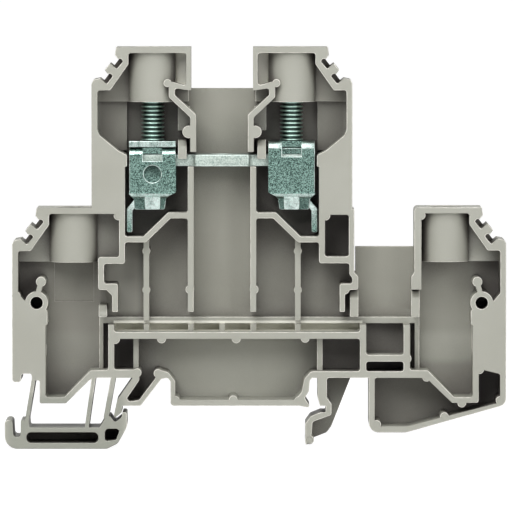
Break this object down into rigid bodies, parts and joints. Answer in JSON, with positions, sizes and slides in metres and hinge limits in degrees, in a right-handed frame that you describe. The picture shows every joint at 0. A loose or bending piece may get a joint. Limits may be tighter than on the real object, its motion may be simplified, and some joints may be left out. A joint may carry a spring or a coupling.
{
  "type": "double level terminal block",
  "caption": "Two-tier feed-through terminal block for a 35 mm rail, open on one side, with screw clamping yokes on a current bar in its upper tier.",
  "frame": {"origin": "middle of the rail's width, on the face that sits on the rail, halfway through the block's width", "axes": "+X along the wires towards the longer lower tier, +Y along the rail towards the closed side, +Z away from the rail, towards the screw heads"},
  "size_m": [0.0851, 0.0098, 0.0681],
  "materials": {
    "housing_plastic": "moulded polyamide, fine matt, beige grey",
    "tinned_bar": "copper alloy, tin plated, satin",
    "yoke_steel": "zinc plated, bright with a sandy grain",
    "screw_steel": "zinc plated, bright"
  },
  "bodies": {
    "block": {"housing": "housing_plastic", "current_bar": "tinned_bar"},
    "left_yoke": {"left_yoke": "yoke_steel"},
    "right_yoke": {"right_yoke": "yoke_steel"},
    "left_screw": {"left_screw": "screw_steel"},
    "right_screw": {"right_screw": "screw_steel"}
  },
  "joints": [
    {"name": "left_screw_turn", "type": "hinge", "parent": "block", "child": "left_screw", "pos_m": [-0.0118, 0, 0.05], "axis": [0, 0, -1], "range_deg": [0, 2263]},
    {"name": "left_yoke_lift", "type": "slide", "parent": "block", "child": "left_yoke", "axis": [0, 0, 1], "range_m": [0, 0.0044]},
    {"name": "right_screw_turn", "type": "hinge", "parent": "block", "child": "right_screw", "pos_m": [0.0118, 0, 0.05], "axis": [0, 0, -1], "range_deg": [0, 2263]},
    {"name": "right_yoke_lift", "type": "slide", "parent": "block", "child": "right_yoke", "axis": [0, 0, 1], "range_m": [0, 0.0044]}
  ],
  "couplings": [
    {"joint": "left_screw_turn", "follows": "left_yoke_lift", "rad_per_m": 8976},
    {"joint": "right_screw_turn", "follows": "right_yoke_lift", "rad_per_m": 8976}
  ]
}
